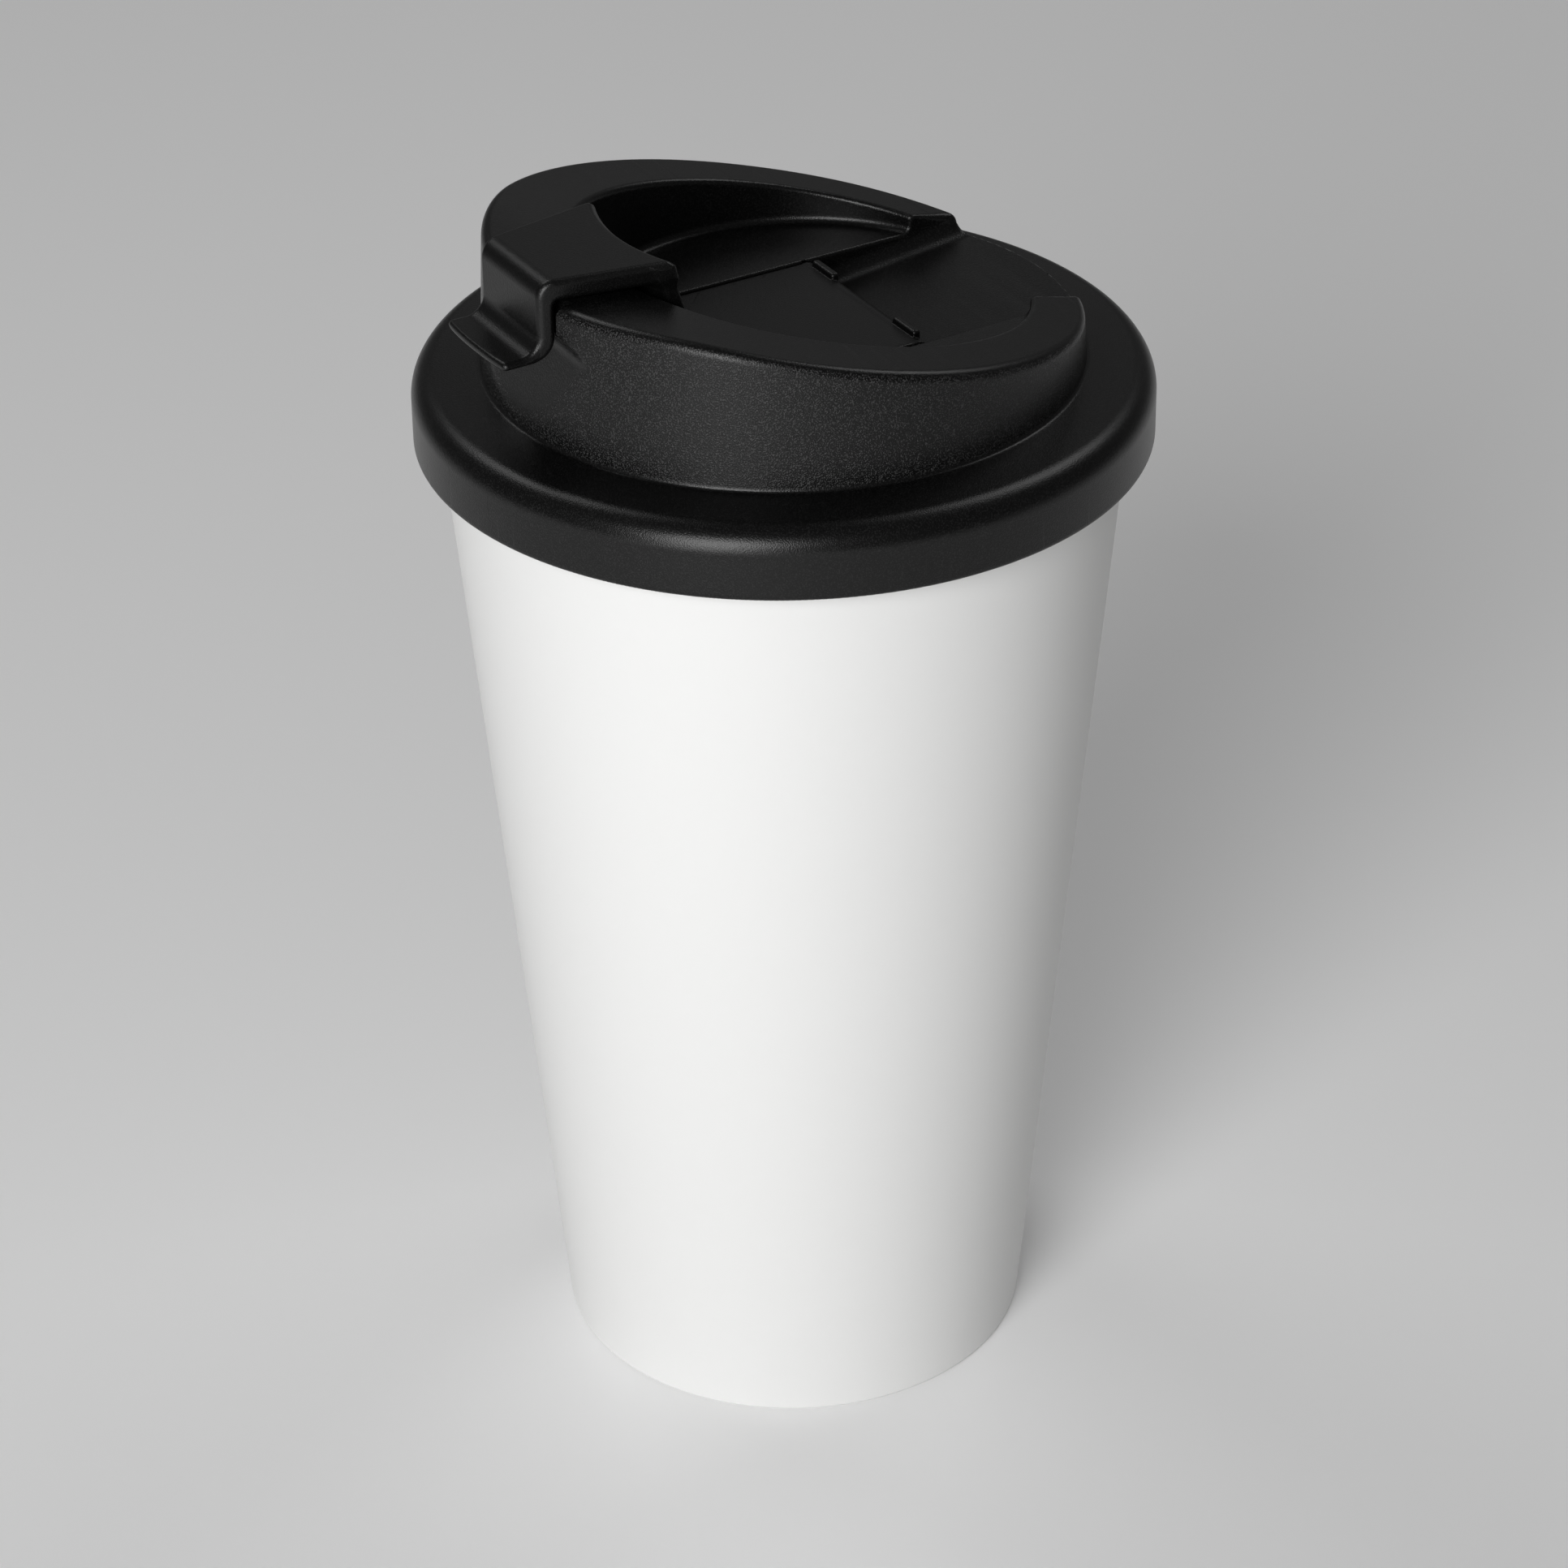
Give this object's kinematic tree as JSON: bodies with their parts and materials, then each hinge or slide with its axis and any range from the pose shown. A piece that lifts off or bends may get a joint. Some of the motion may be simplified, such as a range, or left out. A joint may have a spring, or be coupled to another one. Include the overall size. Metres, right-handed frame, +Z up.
{
  "type": "reusable double-walled coffee cup with twist-on flip-clip lid",
  "caption": "Tapered white double-walled plastic cup in the form of a paper coffee cup, with a black twist-on lid, a sloped drinking rim and a flip clip over the drinking hole.",
  "frame": {"origin": "centre of the base, on the surface that the cup stands on", "axes": "+Z up, along the cup's axis; -Y towards the flip clip and the drinking side; +X along the clip's hinge"},
  "size_m": [0.0886, 0.0886, 0.1561],
  "materials": {
    "shell": "matt, finely textured",
    "liner": "satin",
    "lid": "fine spark texture",
    "lid_seal": "translucent grey silicone",
    "clip": "fine spark texture",
    "spout_seal": "matt silicone"
  },
  "bodies": {
    "cup": {"outer_shell": "shell", "inner_liner": "liner"},
    "lid": {"lid": "lid", "lid_seal": "lid_seal"},
    "clip": {"flip_clip": "clip", "spout_seal": "spout_seal"}
  },
  "joints": [
    {"name": "lid_lift", "type": "slide", "parent": "cup", "child": "lid", "axis": [0, 0, 1], "range_m": [0, 0.03]},
    {"name": "clip_hinge", "type": "hinge", "parent": "lid", "child": "clip", "pos_m": [0, 0.0109, 0.1381], "axis": [-1, 0, 0], "range_deg": [0, 150]}
  ]
}
